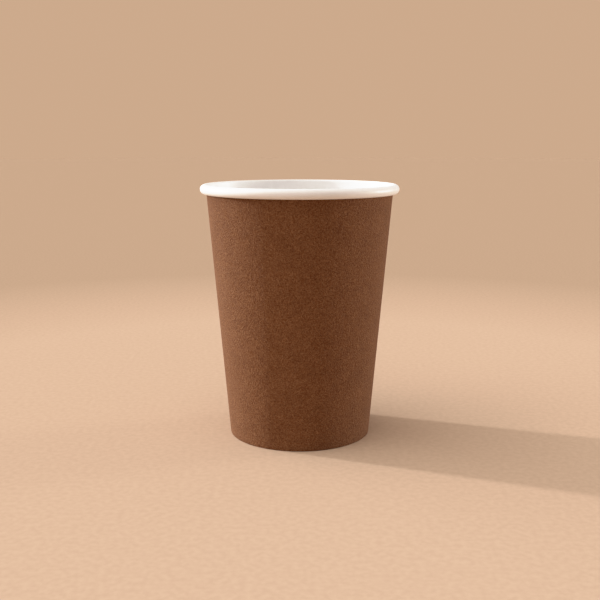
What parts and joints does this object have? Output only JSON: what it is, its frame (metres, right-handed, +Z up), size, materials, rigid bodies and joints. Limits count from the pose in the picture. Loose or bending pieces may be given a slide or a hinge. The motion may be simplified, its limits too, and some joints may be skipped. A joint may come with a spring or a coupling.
{
  "type": "paper coffee cup",
  "caption": "Tapered paper cup for hot drinks: brown outside, white inside, with an outward rolled rim, a lapped side seam and a recessed base held in a folded hem.",
  "frame": {"origin": "centre of the foot, on the surface that the cup stands on", "axes": "+Z up along the cup's axis, from the foot to the rim; the side seam is 15 degrees from -X towards the back, and -Y is the side that the picture shows"},
  "size_m": [0.09, 0.09, 0.1155],
  "materials": {
    "brown_board": "matte",
    "white_board": "satin"
  },
  "bodies": {
    "root": {"side_wall": "brown_board", "base": "white_board"}
  },
  "joints": []
}
